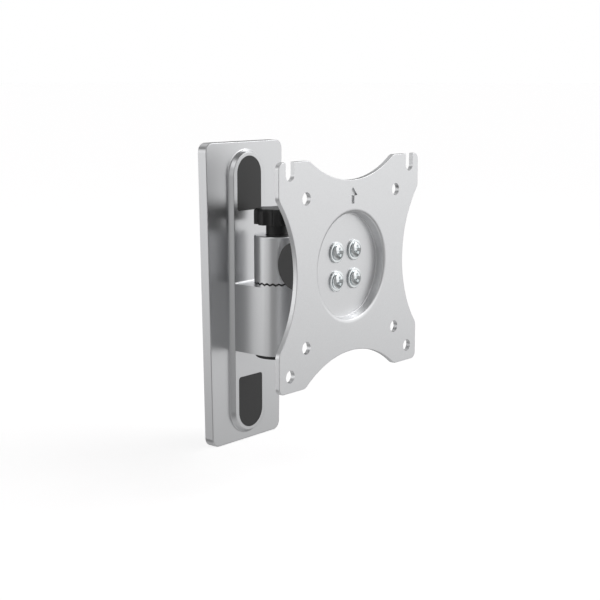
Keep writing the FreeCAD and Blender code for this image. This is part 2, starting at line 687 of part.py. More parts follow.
def tilt_block():
    """Cast fork: a flange behind the plate and two round ears beside the tongue."""
    body = new_body("tilt_block")
    flange = sketch_on(body, "flange_front", "XZ_Plane", y="tv_plate_height", out="flange_back_out")
    add_centred_rectangle(flange, "flange_size", "flange_size")
    pad(body, "flange", flange, "flange_thickness")
    dress(body, "flange_corners", "Fillet", "flange_corner_radius",
          lambda e: along(e, Vector(0, 1, 0)))
    root = sketch_on(body, "ear_root_side", "YZ_Plane", x="-tilt_out", y="tilt_height")
    add_rectangle(root, "-(flange_back_out - tilt_out)", "0", "-ear_radius", "ear_radius")
    pad(body, "ear_root", root, "2 * ear_out", both=True)
    ear = sketch_on(body, "ear_side", "YZ_Plane", x="-tilt_out", y="tilt_height")
    add_circle(ear, "ear_radius")
    pad(body, "ear", ear, "2 * ear_out", both=True)
    slot = sketch_on(body, "slot_plan", "XY_Plane", out="tilt_height")
    add_rectangle(slot, "-slot_width / 2", "slot_width / 2", "-flange_back_out", "-swivel_out")
    pocket(body, "slot", slot, "fork_reach", both=True)
    plug = sketch_on(body, "plug_sink_side", "YZ_Plane", x="-tilt_out", y="tilt_height", out="-ear_out")
    add_circle(plug, "tilt_plug_radius + tilt_cap_gap")
    plug_sink = pocket(body, "plug_sink", plug, "tilt_plug_length + tilt_cap_gap", back=True)
    mirror(body, "plug_sinks", [plug_sink], "YZ_Plane")
    head_sink = sketch_on(body, "bolt_head_side", "YZ_Plane", x="-tilt_out", y="tilt_height",
                          out="-ear_out")
    add_circle(head_sink, "bolt_head_radius + free_gap")
    pocket(body, "bolt_head_sink", head_sink, "ear_out - bolt_seat", back=True)
    nut_sink = sketch_on(body, "tilt_nut_side", "YZ_Plane", x="-tilt_out", y="tilt_height",
                         out="ear_out")
    add_hexagon(nut_sink, "tilt_nut_width + 2 * tilt_cap_gap")
    pocket(body, "tilt_nut_sink", nut_sink, "ear_out - bolt_seat")
    axle = sketch_on(body, "axle_side", "YZ_Plane", x="-tilt_out", y="tilt_height")
    add_circle(axle, "tilt_bolt_radius + fit_gap")
    pocket(body, "axle_hole", axle, "2 * barrel_radius", both=True)
    holes = sketch_on(body, "screw_holes_front", "XZ_Plane", y="tv_plate_height", out="flange_back_out")
    add_circle(holes, "screw_radius + fit_gap", x="screw_spacing / 2", y="screw_spacing / 2")
    hole = pocket(body, "screw_hole", holes, "flange_thickness", back=True)
    repeat_round(body, "screw_holes", [hole], holes, "corner_count")
    return node(body)


def tilt_bush():
    body = new_body("tilt_bush")
    side = sketch_on(body, "side", "YZ_Plane")
    add_circle(side, "tilt_bolt_radius + tilt_bush_wall")
    add_circle(side, "tilt_bolt_radius + fit_gap")
    pad(body, "wall", side, "tongue_width", both=True)
    return node(body, y="-tilt_out", z="tilt_height")


def ring(label, outer, inner, thickness, plane, x, y, z):
    """Flat washer as a plain part: a disc less a hole."""
    solids = []
    for name, radius in (("disc", outer), ("hole", inner)):
        item = doc.addObject("Part::Cylinder", f"{label}_{name}")
        bind(item, "Radius", radius)
        bind(item, "Height", thickness)
        solids.append(item)
    item = doc.addObject("Part::Cut", label)
    item.Base, item.Tool = solids
    turn = {"X": Rotation(Vector(0, 1, 0), 90), "Y": Rotation(Vector(1, 0, 0), 90)}[plane]
    item.Placement = Placement(Vector(), turn)
    for axis, text in (("x", x), ("y", y), ("z", z)):
        bind(item, f"Placement.Base.{axis}", text)
    return item


def group(label, items):
    """Several like pieces in one node."""
    item = doc.addObject("Part::Compound", label)
    item.Label = label
    item.Links = items
    return node(item)


def friction_washers():
    """One fibre washer on each side of the tongue."""
    places = {"left": "-(tongue_width / 2 + friction_washer_thickness)", "right": "tongue_width / 2"}
    group("friction_washers", [
        ring(f"friction_washer_{side}", "friction_washer_radius", "tilt_bolt_radius + free_gap",
             "friction_washer_thickness", "X", x, "-tilt_out", "tilt_height")
        for side, x in places.items()])


def vesa_plate():
    """Pressed sheet with four round waists, the hole patterns and a drawn round recess."""
    body = new_body("vesa_plate")
    blank = sketch_on(body, "blank_front", "XZ_Plane", y="tv_plate_height", out="tv_plate_out")
    add_rectangle(blank, "-tv_half", "tv_half", "-tv_half", "tv_plate_top")
    pad(body, "blank", blank, "sheet", back=True)
    waist = sketch_on(body, "waist_front", "XZ_Plane", y="tv_plate_height", out="tv_plate_out")
    add_circle(waist, "waist_radius", x="waist_width / 2 + waist_radius")
    bite = pocket(body, "waist", waist, "sheet")
    repeat_round(body, "waists", [bite], blank, "corner_count")
    half = SIZES["tv_plate_size"] / 2
    middle = SIZES["tv_plate_height"]
    top = middle + SIZES["tv_plate_top"]

    def at_corner(edge):
        centre = edge.BoundBox.Center
        outer = centre.z > top - NEAR or centre.z < middle - half + NEAR
        return along(edge, Vector(0, 1, 0)) and abs(centre.x) > half - NEAR and outer

    def at_waist(edge):
        return along(edge, Vector(0, 1, 0)) and not at_corner(edge)

    dress(body, "waist_blends", "Fillet", "waist_blend", at_waist)
    dress(body, "corners", "Fillet", "tv_corner_radius", at_corner)
    doc.recompute()
    front = body.Shape.BoundBox.YMin
    dress(body, "front_edge", "Fillet", "sheet_edge_radius", lambda e: lies_at(e, "Y", front))
    dish = sketch_on(body, "dish_side", "YZ_Plane", y="tv_plate_height")
    add_polygon(dish, [
        ("-dish_middle_out", "0"),
        ("-dish_middle_out", "dish_rim_radius"),
        ("-floor_back_out", "dish_foot_radius"),
        ("-floor_back_out", "0")])
    revolve(body, "dish", dish, "H_Axis")
    hollow = sketch_on(body, "hollow_side", "YZ_Plane", y="tv_plate_height")
    add_polygon(hollow, [
        ("-tv_plate_out", "0"),
        ("-tv_plate_out", "recess_radius"),
        ("-(floor_front_out + recess_step)", "recess_floor_radius + recess_step"),
        ("-(floor_front_out + recess_step)", "recess_floor_radius"),
        ("-floor_front_out", "recess_floor_radius"),
        ("-floor_front_out", "0")])
    revolve(body, "hollow", hollow, "H_Axis", groove=True)
    rim = SIZES["recess_radius"]
    dress(body, "recess_rim", "Fillet", "recess_rim_radius", lambda e: is_circle(e, rim))
    small = sketch_on(body, "small_pattern_front", "XZ_Plane", y="tv_plate_height", out="tv_plate_out")
    add_circle(small, "tv_hole_radius", x="vesa_small / 2", y="vesa_small / 2")
    hole = pocket(body, "small_hole", small, "sheet")
    repeat_round(body, "small_pattern", [hole], blank, "corner_count")
    large = sketch_on(body, "large_pattern_front", "XZ_Plane", y="tv_plate_height", out="tv_plate_out")
    add_circle(large, "tv_hole_radius", x="vesa_large / 2", y="-vesa_large / 2")
    low_hole = pocket(body, "large_hole", large, "sheet")
    root = sketch_on(body, "slot_root_front", "XZ_Plane", y="tv_plate_height", out="tv_plate_out")
    add_circle(root, "tv_hole_radius", x="vesa_large / 2", y="vesa_large / 2")
    slot_root = pocket(body, "slot_root", root, "sheet")
    mouth = sketch_on(body, "slot_mouth_front", "XZ_Plane", y="tv_plate_height", out="tv_plate_out")
    add_rectangle(mouth, "vesa_large / 2 - tv_hole_radius", "vesa_large / 2 + tv_hole_radius",
                  "vesa_large / 2", "tv_plate_top + sheet")
    slot_mouth = pocket(body, "slot_mouth", mouth, "sheet")
    mirror(body, "large_pattern", [low_hole, slot_root, slot_mouth], "YZ_Plane")
    screws = sketch_on(body, "screw_front", "XZ_Plane", y="tv_plate_height", out="floor_front_out")
    add_circle(screws, "screw_radius + free_gap", x="screw_spacing / 2", y="screw_spacing / 2")
    screw_hole = pocket(body, "screw_hole", screws, "sheet")
    repeat_round(body, "screw_holes", [screw_hole], blank, "corner_count")
    arrow = sketch_on(body, "arrow_front", "XZ_Plane", y="tv_plate_height", out="tv_plate_out")
    add_polygon(arrow, [
        ("0", "arrow_tip"),
        ("-arrow_wing", "arrow_shoulder"),
        ("-arrow_stem / 2", "arrow_shoulder"),
        ("-arrow_stem / 2", "arrow_tail"),
        ("arrow_stem / 2", "arrow_tail"),
        ("arrow_stem / 2", "arrow_shoulder"),
        ("arrow_wing", "arrow_shoulder")])
    pocket(body, "arrow", arrow, "arrow_depth")
    return node(body)


def plate_screw(label, x, z):
    """Pan-head screw with a cross recess; its shank stops short of the flange's back."""
    body = new_body(label)
    head = sketch_on(body, "head_front", "XZ_Plane")
    add_circle(head, "screw_head_radius")
    pad(body, "head", head, "screw_head_height")
    rim = SIZES["screw_head_radius"]
    top = -SIZES["screw_head_height"]
    dress(body, "crown", "Fillet", "screw_crown_radius",
          lambda e: is_circle(e, rim) and lies_at(e, "Y", top))
    shank = sketch_on(body, "shank_front", "XZ_Plane")
    add_circle(shank, "screw_radius")
    pad(body, "shank", shank,
        "screw_washer_thickness + floor_front_out - flange_back_out - free_gap", back=True)
    cross = sketch_on(body, "cross_front", "XZ_Plane", out="screw_head_height")
    add_centred_rectangle(cross, "screw_cross_length", "screw_cross_width")
    arm = pocket(body, "cross_arm", cross, "screw_cross_depth")
    repeat_round(body, "cross", [arm], cross, "corner_count")
    for axis, text in (("x", x), ("y", "-(floor_front_out + screw_washer_thickness)"), ("z", z)):
        bind(body, f"Placement.Base.{axis}", text)
    return body


def plate_fasteners():
    """Four screws and washers in a square round the middle of the plate."""
    screws = []
    washers = []
    places = [(i, j) for j in ("", "-") for i in ("-", "")]
    for number, (i, j) in enumerate(places, start=1):
        x = f"{i}screw_spacing / 2"
        z = f"tv_plate_height + {j}screw_spacing / 2"
        screws.append(plate_screw(f"plate_screw_{number}", x, z))
        washers.append(ring(f"plate_washer_{number}", "screw_washer_radius", "screw_radius + fit_gap",
                            "screw_washer_thickness", "Y", x, "-floor_front_out", z))
    group("plate_screws", screws)
    group("plate_washers", washers)


def build():
    wall_bracket()
    cover("upper_cover", 0)
    cover("lower_cover", 180)
    clamp_nut()
    bottom_cap()
    turned_tube("swivel_bush", "bush_radius", "stud_radius + fit_gap", "bush_top - (bush_bottom)",
                "-swivel_out", "bush_bottom")
    turned_tube("thrust_washer", "washer_radius", "stud_radius + free_gap", "washer_thickness",
                "-swivel_out", "knuckle_top - washer_thickness")
    lift_spring()
    clamp_knob()
    clamp_stud()
    swivel_head()
    tilt_cap("tilt_cap_left", 0)
    tilt_cap("tilt_cap_right", 180)
    tilt_bolt()
    tilt_nut()
    tilt_block()
    tilt_bush()
    friction_washers()
    vesa_plate()
    plate_fasteners()


def check():
    for item in doc.Objects:
        if "Invalid" in item.State or "Error" in item.State:
            raise RuntimeError(f"{item.Name} did not build: {item.State}")
    for item in nodes:
        if item.Shape.isNull() or not item.Shape.isValid():
            raise RuntimeError(f"{item.Label} has no sound shape")


def export():
    os.makedirs("parts", exist_ok=True)
    for item in nodes:
        item.Shape.exportStep(f"parts/{item.Label}.step")
        print(item.Label, len(item.Shape.Solids), round(item.Shape.Volume, 1))


fill_sheet()
build()
doc.recompute()
check()
export()
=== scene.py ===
"""Finishes, plate screws and studio for a swivelling television wall mount."""

import json
import math

import bpy
from bpy.props import FloatProperty, FloatVectorProperty, IntProperty, PointerProperty
from bpy.types import Operator, Panel, PropertyGroup
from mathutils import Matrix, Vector

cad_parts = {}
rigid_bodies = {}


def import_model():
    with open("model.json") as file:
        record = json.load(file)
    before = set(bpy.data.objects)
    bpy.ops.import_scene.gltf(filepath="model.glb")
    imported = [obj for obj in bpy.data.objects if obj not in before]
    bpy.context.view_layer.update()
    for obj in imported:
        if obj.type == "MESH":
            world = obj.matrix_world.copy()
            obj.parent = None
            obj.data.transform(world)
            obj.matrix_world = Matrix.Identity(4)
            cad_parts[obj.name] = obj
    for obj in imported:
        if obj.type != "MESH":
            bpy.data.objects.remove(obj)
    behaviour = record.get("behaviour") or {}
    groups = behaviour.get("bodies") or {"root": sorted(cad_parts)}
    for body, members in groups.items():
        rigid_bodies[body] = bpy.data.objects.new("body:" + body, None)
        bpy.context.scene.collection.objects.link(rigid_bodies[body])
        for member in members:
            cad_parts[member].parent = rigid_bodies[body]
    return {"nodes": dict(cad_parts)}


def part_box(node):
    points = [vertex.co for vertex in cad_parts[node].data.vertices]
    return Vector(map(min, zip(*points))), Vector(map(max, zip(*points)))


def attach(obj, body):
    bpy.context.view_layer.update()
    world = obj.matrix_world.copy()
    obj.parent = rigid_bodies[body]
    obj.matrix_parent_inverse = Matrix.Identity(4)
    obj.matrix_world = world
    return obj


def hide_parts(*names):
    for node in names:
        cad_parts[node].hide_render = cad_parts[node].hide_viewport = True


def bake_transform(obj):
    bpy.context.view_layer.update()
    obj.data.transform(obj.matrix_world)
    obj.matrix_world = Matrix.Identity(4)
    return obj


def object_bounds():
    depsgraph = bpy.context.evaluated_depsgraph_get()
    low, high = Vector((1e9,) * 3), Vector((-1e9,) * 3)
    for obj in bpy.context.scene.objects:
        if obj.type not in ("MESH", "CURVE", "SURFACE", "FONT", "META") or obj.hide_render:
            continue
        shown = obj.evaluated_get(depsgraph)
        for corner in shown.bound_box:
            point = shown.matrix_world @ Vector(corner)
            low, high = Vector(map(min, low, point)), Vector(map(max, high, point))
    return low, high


bl_info = {
    "name": "Television mount finishes",
    "version": (1, 0, 0),
    "blender": (4, 5, 0),
    "location": "3D View > Sidebar > TV mount",
    "description": "Finishes, plate screws and a studio for a swivelling television wall mount",
    "category": "Object",
}

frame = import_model()
CAD_LOW, CAD_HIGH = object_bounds()

MM = 0.001
NEAR = MM / 20
MERGE_REACH = MM / 1000
FACING = 0.9

SCREW_LOW, SCREW_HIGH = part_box("plate_screws")
WASHER_LOW, WASHER_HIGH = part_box("plate_washers")
SOURCE_HEAD_RADIUS = 4.2 * MM
DISH_MIDDLE = (SCREW_LOW + SCREW_HIGH) / 2
PLATE_FRONT = CAD_LOW.y

HEAD_SIDES = 64
WASHER_SIDES = 96
SCREW_SMOOTH = math.radians(30.0)
SHEET_SMOOTH = math.radians(35.0)
WASHER_SMOOTH = math.radians(40.0)
SHARP_EDGE = math.radians(45.0)
SHANK_EDGE_STEPS = 2
WASHER_EDGE_STEPS = 4
DISH_EDGE_STEPS = 3

# The part of a noise's range that is spread over a finish, and what it does there
NOISE_LOW, NOISE_HIGH = 0.3, 0.7
GRAIN_DETAIL = 3.0
GRAIN_DARKER = 0.97
GRAIN_ROUGHNESS = 0.02
GRAIN_BUMP = 0.02
GRAIN_HEIGHT = MM / 100

# The camera sees a share of the floor's glow, and mirror reflections a share of the
# white background
FLOOR_SIZE = 200.0
FLOOR_PAPER = (0.78, 0.77, 0.775)
FLOOR_GLOW = 2.45
CAMERA_SHARE = 0.3
GLOSSY_SHARE = 0.12
WHITE = (1.0, 1.0, 1.0, 1.0)

# Soft panels of the surrounding light: heading to the right of straight ahead and
# elevation of the middle, half angles of the even part and of the whole, and level
PANELS = (
    (52.0, 22.0, 24.0, 50.0, 1.00),  # front right, which both flat plates reflect
    (18.0, 32.0, 8.0, 34.0, 0.30),  # above the front
    (8.0, -9.0, 6.0, 26.0, 0.14),  # low in front
    (-40.0, -14.0, 20.0, 50.0, 0.15),  # beside the camera
    (-88.0, 48.0, 6.0, 24.0, 1.20),  # high on the left
    (-103.0, 10.0, 12.0, 34.0, 0.78),  # left
    (-137.0, 4.0, 9.0, 29.0, 0.88),  # left and behind
    (165.0, 38.0, 8.0, 35.0, 0.60),  # high behind
    (0.0, -90.0, 30.0, 62.0, 0.42),  # below, where the pale floor lies
)
OVERHEAD_PLACE = (0.67, -0.43, 0.78)
OVERHEAD_SIZE = (0.45, 0.45)


# Properties


class MountFinishes(PropertyGroup):
    """Colours of the mount's finishes."""

    silver: FloatVectorProperty(
        name="Silver casting",
        description="Metallic paint on the castings",
        subtype="COLOR",
        size=3,
        min=0.0,
        max=1.0,
        default=(0.685, 0.69, 0.70),
    )
    sheet: FloatVectorProperty(
        name="Silver sheet",
        description="Metallic paint on the pressed plate",
        subtype="COLOR",
        size=3,
        min=0.0,
        max=1.0,
        default=(0.805, 0.81, 0.82),
    )
    silver_roughness: FloatProperty(
        name="Casting roughness",
        description="How far the paint on the castings spreads a reflection",
        min=0.05,
        max=1.0,
        default=0.30,
        subtype="FACTOR",
    )
    sheet_roughness: FloatProperty(
        name="Sheet roughness",
        description="How far the paint on the pressed plate spreads a reflection",
        min=0.05,
        max=1.0,
        default=0.40,
        subtype="FACTOR",
    )
    grain_size: FloatProperty(
        name="Paint grain",
        description="Width of the grain in the metallic paint",
        min=0.0001,
        max=0.01,
        default=0.6 * MM,
        subtype="DISTANCE",
        unit="LENGTH",
    )
    cover_grey: FloatVectorProperty(
        name="Covers",
        description="Dark grey plastic of the screw covers and the tilt caps",
        subtype="COLOR",
        size=3,
        min=0.0,
        max=1.0,
        default=(0.025, 0.025, 0.0255),
    )
    black: FloatVectorProperty(
        name="Black plastic",
        description="Plastic of the knob and the bottom cap",
        subtype="COLOR",
        size=3,
        min=0.0,
        max=1.0,
        default=(0.005, 0.005, 0.0053),
    )
    zinc: FloatVectorProperty(
        name="Bright zinc",
        description="Plating of the plate screws and their washers",
        subtype="COLOR",
        size=3,
        min=0.0,
        max=1.0,
        default=(0.83, 0.86, 0.87),
    )
    steel: FloatVectorProperty(
        name="Plain steel",
        description="Stud, bolt, nuts, spring and thrust washer",
        subtype="COLOR",
        size=3,
        min=0.0,
        max=1.0,
        default=(0.42, 0.42, 0.43),
    )
    bush: FloatVectorProperty(
        name="Bush plastic",
        description="Pale bearing plastic of the bushes and friction washers",
        subtype="COLOR",
        size=3,
        min=0.0,
        max=1.0,
        default=(0.55, 0.53, 0.48),
    )


class ScrewSizes(PropertyGroup):
    """Sizes of the pan-head screws in the plate's recess."""

    head_radius: FloatProperty(
        name="Head radius",
        description="Radius of the pan head",
        default=4.1 * MM,
        unit="LENGTH",
    )
    shank_radius: FloatProperty(
        name="Shank radius",
        description="Outer radius of the screw's shank",
        default=2.5 * MM,
        unit="LENGTH",
    )
    edge_height: FloatProperty(
        name="Edge height",
        description="Height of the straight edge below the head's dome",
        default=0.4 * MM,
        unit="LENGTH",
    )
    seat_share: FloatProperty(
        name="Seat share",
        description="Share of the head's radius with which it sits on the washer",
        min=0.7,
        max=1.0,
        default=0.9,
        subtype="FACTOR",
    )
    dome_height: FloatProperty(
        name="Dome height",
        description="Height of the dome above the straight edge",
        default=1.5 * MM,
        unit="LENGTH",
    )
    cross_length: FloatProperty(
        name="Cross length",
        description="Length of each arm pair of the cross recess at the top of the head",
        default=5.8 * MM,
        unit="LENGTH",
    )
    cross_width: FloatProperty(
        name="Cross width",
        description="Width of an arm of the cross recess at the top of the head",
        default=1.9 * MM,
        unit="LENGTH",
    )
    cross_depth: FloatProperty(
        name="Cross depth",
        description="Depth of the cross recess",
        default=1.7 * MM,
        unit="LENGTH",
    )
    cross_taper: FloatProperty(
        name="Cross taper",
        description="Share of the cross's size that is left at its bottom",
        min=0.1,
        max=1.0,
        default=0.45,
        subtype="FACTOR",
    )
    dome_steps: IntProperty(
        name="Dome steps",
        description="Number of faces across the dome of the head",
        min=2,
        max=24,
        default=10,
    )
    washer_radius: FloatProperty(
        name="Washer radius",
        description="Outer radius of the washers",
        default=5.5 * MM,
        unit="LENGTH",
    )
    washer_edge: FloatProperty(
        name="Washer edge",
        description="Rounding of the washer's edges",
        default=0.3 * MM,
        unit="LENGTH",
    )


class DishSizes(PropertyGroup):
    """Sizes of the drawn wall round the plate's recess."""

    rim_radius: FloatProperty(
        name="Rim radius",
        description="Radius at which the flat front starts to roll into the recess",
        default=29.96 * MM,
        unit="LENGTH",
    )
    wide_roll: FloatProperty(
        name="Wide roll",
        description="Radius of the roll's outer part, next to the flat front",
        default=3.6 * MM,
        unit="LENGTH",
    )
    wide_turn: FloatProperty(
        name="Wide turn",
        description="How far the outer part of the roll turns from the flat front",
        default=math.radians(22.0),
        unit="ROTATION",
    )
    tight_roll: FloatProperty(
        name="Tight roll",
        description="Radius of the roll's inner part, next to the slope",
        default=1.1 * MM,
        unit="LENGTH",
    )
    tight_turn: FloatProperty(
        name="Tight turn",
        description="How far the roll has turned from the flat front where the slope starts",
        default=math.radians(74.0),
        unit="ROTATION",
    )
    slope_radius: FloatProperty(
        name="Slope radius",
        description="Radius at which the slope ends and the steep part of the wall starts",
        default=27.5 * MM,
        unit="LENGTH",
    )
    slope_depth: FloatProperty(
        name="Slope depth",
        description="Depth of the slope's lower edge below the flat front",
        default=2.9 * MM,
        unit="LENGTH",
    )
    foot_radius: FloatProperty(
        name="Foot radius",
        description="Radius of the wall's foot, where the step to the floor starts",
        default=27.4 * MM,
        unit="LENGTH",
    )
    foot_depth: FloatProperty(
        name="Foot depth",
        description="Depth of the wall's foot below the flat front",
        default=4.4 * MM,
        unit="LENGTH",
    )
    floor_radius: FloatProperty(
        name="Floor radius",
        description="Radius of the recess's floor inside the step",
        default=26.8 * MM,
        unit="LENGTH",
    )
    step_edge: FloatProperty(
        name="Step edge",
        description="Rounding of the step between the wall's foot and the floor",
        default=0.3 * MM,
        unit="LENGTH",
    )
    roll_steps: IntProperty(
        name="Roll steps",
        description="Number of faces across each part of the roll",
        min=4,
        max=48,
        default=8,
    )


class StudioSettings(PropertyGroup):
    """Camera, lamps and background."""

    lens: FloatProperty(
        name="Lens",
        description="Focal length of the camera",
        default=75.0,
        unit="CAMERA",
    )
    camera_place: FloatVectorProperty(
        name="Camera place",
        description="Where the camera stands, in the mount's own frame",
        subtype="TRANSLATION",
        size=3,
        default=(-0.51070, -0.47112, 0.11659),
    )
    camera_pitch: FloatProperty(
        name="Camera pitch",
        description="How far the camera looks down",
        default=math.radians(9.927),
        unit="ROTATION",
    )
    camera_heading: FloatProperty(
        name="Camera heading",
        description="How far the camera is turned to the right of straight ahead",
        default=math.radians(50.172),
        unit="ROTATION",
    )
    sky_level: FloatProperty(
        name="Surrounding light",
        description="Even level of the surrounding light between its panels",
        min=0.0,
        default=0.10,
    )
    overhead_power: FloatProperty(
        name="Overhead lamp",
        description="Power of the lamp above the mount",
        min=0.0,
        default=1.6,
        unit="POWER",
    )


# Node and mesh helpers


def emptied_tree(owner, output_kind):
    """The node tree of a material or world with nothing but its output."""
    owner.use_nodes = True
    tree = owner.node_tree
    tree.nodes.clear()
    return tree, tree.nodes.new(output_kind)


def mix_shaders(tree, factor, first, second):
    """The first shader at factor 0, the second one at 1."""
    mix = tree.nodes.new("ShaderNodeMixShader")
    tree.links.new(factor, mix.inputs["Fac"])
    tree.links.new(first, mix.inputs[1])
    tree.links.new(second, mix.inputs[2])
    return mix.outputs["Shader"]


def add_grain(tree, width):
    """Noise of a given width on Object coordinates."""
    place = tree.nodes.new("ShaderNodeTexCoord")
    noise = tree.nodes.new("ShaderNodeTexNoise")
    noise.inputs["Scale"].default_value = 1.0 / width
    noise.inputs["Detail"].default_value = GRAIN_DETAIL
    tree.links.new(place.outputs["Object"], noise.inputs["Vector"])
    return noise.outputs["Fac"]


def spread(tree, source, low, high):
    """Maps the middle of a noise onto low to high."""
    ranged = tree.nodes.new("ShaderNodeMapRange")
    ranged.inputs["From Min"].default_value = NOISE_LOW
    ranged.inputs["From Max"].default_value = NOISE_HIGH
    ranged.inputs["To Min"].default_value = low
    ranged.inputs["To Max"].default_value = high
    tree.links.new(source, ranged.inputs["Value"])
    return ranged.outputs["Result"]


def shade_between(tree, factor, colour, darker):
    """A colour that wanders between itself and a darker share of itself."""
    mix = tree.nodes.new("ShaderNodeMix")
    mix.data_type = "RGBA"
    colours = [socket for socket in mix.inputs if socket.type == "RGBA"]
    colours[0].default_value = (*[channel * darker for channel in colour], 1.0)
    colours[1].default_value = (*colour, 1.0)
    tree.links.new(factor, mix.inputs[0])
    return next(socket for socket in mix.outputs if socket.type == "RGBA")


def finish_material(name, colour, roughness, metallic=0.0, grain=0.6 * MM, specular=0.5):
    """Even finish with a fine grain in its colour, gloss and surface."""
    material = bpy.data.materials.new(name)
    tree, output = emptied_tree(material, "ShaderNodeOutputMaterial")
    shader = tree.nodes.new("ShaderNodeBsdfPrincipled")
    noise = add_grain(tree, grain)
    tone = shade_between(tree, spread(tree, noise, 0.0, 1.0), colour, GRAIN_DARKER)
    rough = spread(tree, noise, roughness + GRAIN_ROUGHNESS, roughness - GRAIN_ROUGHNESS)
    surface = tree.nodes.new("ShaderNodeBump")
    surface.inputs["Strength"].default_value = GRAIN_BUMP
    surface.inputs["Distance"].default_value = GRAIN_HEIGHT
    shader.inputs["Metallic"].default_value = metallic
    shader.inputs["Specular IOR Level"].default_value = specular
    tree.links.new(tone, shader.inputs["Base Color"])
    tree.links.new(rough, shader.inputs["Roughness"])
    tree.links.new(noise, surface.inputs["Height"])
    tree.links.new(surface.outputs["Normal"], shader.inputs["Normal"])
    tree.links.new(shader.outputs["BSDF"], output.inputs["Surface"])
    return material


def paint(names, material):
    """Gives CAD nodes a finish."""
    for name in names:
        piece = frame["nodes"][name]
        if not piece.material_slots:
            piece.data.materials.append(material)
        for slot in piece.material_slots:
            slot.material = material


def deselect_all():
    """Leaves edit mode, with nothing selected."""
    if bpy.context.object and bpy.context.object.mode != "OBJECT":
        bpy.ops.object.mode_set(mode="OBJECT")
    bpy.ops.object.select_all(action="DESELECT")


def make_active(piece):
    """Makes the piece the only selected object."""
    deselect_all()
    piece.select_set(True)
    bpy.context.view_layer.objects.active = piece


def apply_transforms(piece):
    """Puts the piece's place, turn and scale into its mesh."""
    make_active(piece)
    bpy.ops.object.transform_apply(location=True, rotation=True, scale=True)


def own_copy(piece, name):
    """Copy of a piece with its own mesh, as the only selected object."""
    other = piece.copy()
    other.data = piece.data.copy()
    other.name = name
    bpy.context.scene.collection.objects.link(other)
    make_active(other)
    return other


def moved_copy(piece, name, offset):
    """Copy of a finished piece with its own mesh, moved by an offset."""
    other = own_copy(piece, name)
    other.location = offset
    apply_transforms(other)
    return other


def select_faces(piece, wanted):
    """Leaves the piece in edit mode with only the wanted faces selected."""
    make_active(piece)
    for polygon in piece.data.polygons:
        polygon.select = False
    for edge in piece.data.edges:
        edge.select = False
    for vertex in piece.data.vertices:
        vertex.select = False
    for polygon in piece.data.polygons:
        polygon.select = wanted(polygon)
    bpy.ops.object.mode_set(mode="EDIT")
    bpy.ops.mesh.select_mode(type="FACE")


def apply_modifier(piece, kind, **settings):
    """Shapes the piece with a modifier and applies it."""
    make_active(piece)
    modifier = piece.modifiers.new(kind.title(), kind)
    for key, value in settings.items():
        setattr(modifier, key, value)
    bpy.ops.object.modifier_apply(modifier=modifier.name)


# Screws


def cross_cutter(place, sizes):
    """Tapered cross that is cut out of a screw head, pointing into the wall."""
    arms = []
    for length, width in ((sizes.cross_length, sizes.cross_width),
                          (sizes.cross_width, sizes.cross_length)):
        deselect_all()
        bpy.ops.mesh.primitive_cube_add(size=1.0, location=place)
        arm = bpy.context.object
        arm.scale = (length, 2.0 * sizes.cross_depth, width)
        apply_transforms(arm)
        for side, share in ((1.0, sizes.cross_taper), (-1.0, 2.0 - sizes.cross_taper)):
            select_faces(arm, lambda polygon: polygon.normal.y * side > FACING)
            bpy.ops.transform.resize(value=(share, 1.0, share))
            bpy.ops.object.mode_set(mode="OBJECT")
        arms.append(arm)
    apply_modifier(arms[0], "BOOLEAN", operation="UNION", solver="EXACT", object=arms[1])
    bpy.data.objects.remove(arms[1])
    return arms[0]


def pan_head_screw(name, x, z, sizes):
    """Domed head with a cross recess and a shank, standing out of the plate along -Y."""
    seat, back = WASHER_LOW.y, SCREW_HIGH.y
    brim = seat - sizes.edge_height
    deselect_all()
    bpy.ops.mesh.primitive_cylinder_add(vertices=HEAD_SIDES, radius=sizes.head_radius,
                                        depth=seat - brim, location=(x, (brim + seat) / 2, z),
                                        rotation=(math.pi / 2, 0.0, 0.0))
    screw = bpy.context.object
    screw.name = name
    apply_transforms(screw)
    select_faces(screw, lambda polygon: polygon.normal.y > FACING)
    bpy.ops.mesh.inset(thickness=sizes.head_radius - sizes.shank_radius)
    bpy.ops.mesh.extrude_region_move(TRANSFORM_OT_translate={"value": (0.0, back - seat, 0.0)})
    bpy.ops.mesh.bevel(offset=sizes.shank_radius / 4, segments=SHANK_EDGE_STEPS, affect="EDGES")
    select_faces(screw, lambda polygon: (polygon.normal.y > FACING
                                         and polygon.center.y < seat + NEAR))
    bpy.ops.transform.resize(value=(sizes.seat_share, 1.0, sizes.seat_share),
                             center_override=(x, seat, z))
    select_faces(screw, lambda polygon: polygon.normal.y < -FACING)
    reach, height = 1.0, 0.0
    for step in range(1, sizes.dome_steps):
        turn = math.pi / 2 * step / sizes.dome_steps
        new_reach, new_height = math.cos(turn), sizes.dome_height * math.sin(turn)
        bpy.ops.mesh.extrude_region_move(
            TRANSFORM_OT_translate={"value": (0.0, height - new_height, 0.0)})
        bpy.ops.transform.resize(value=(new_reach / reach, 1.0, new_reach / reach),
                                 center_override=(x, brim - new_height, z))
        reach, height = new_reach, new_height
    bpy.ops.object.mode_set(mode="OBJECT")
    cutter = cross_cutter((x, brim - sizes.dome_height, z), sizes)
    apply_modifier(screw, "BOOLEAN", operation="DIFFERENCE", solver="EXACT", object=cutter)
    bpy.data.objects.remove(cutter)
    make_active(screw)
    bpy.ops.object.shade_smooth_by_angle(angle=SCREW_SMOOTH)
    return screw


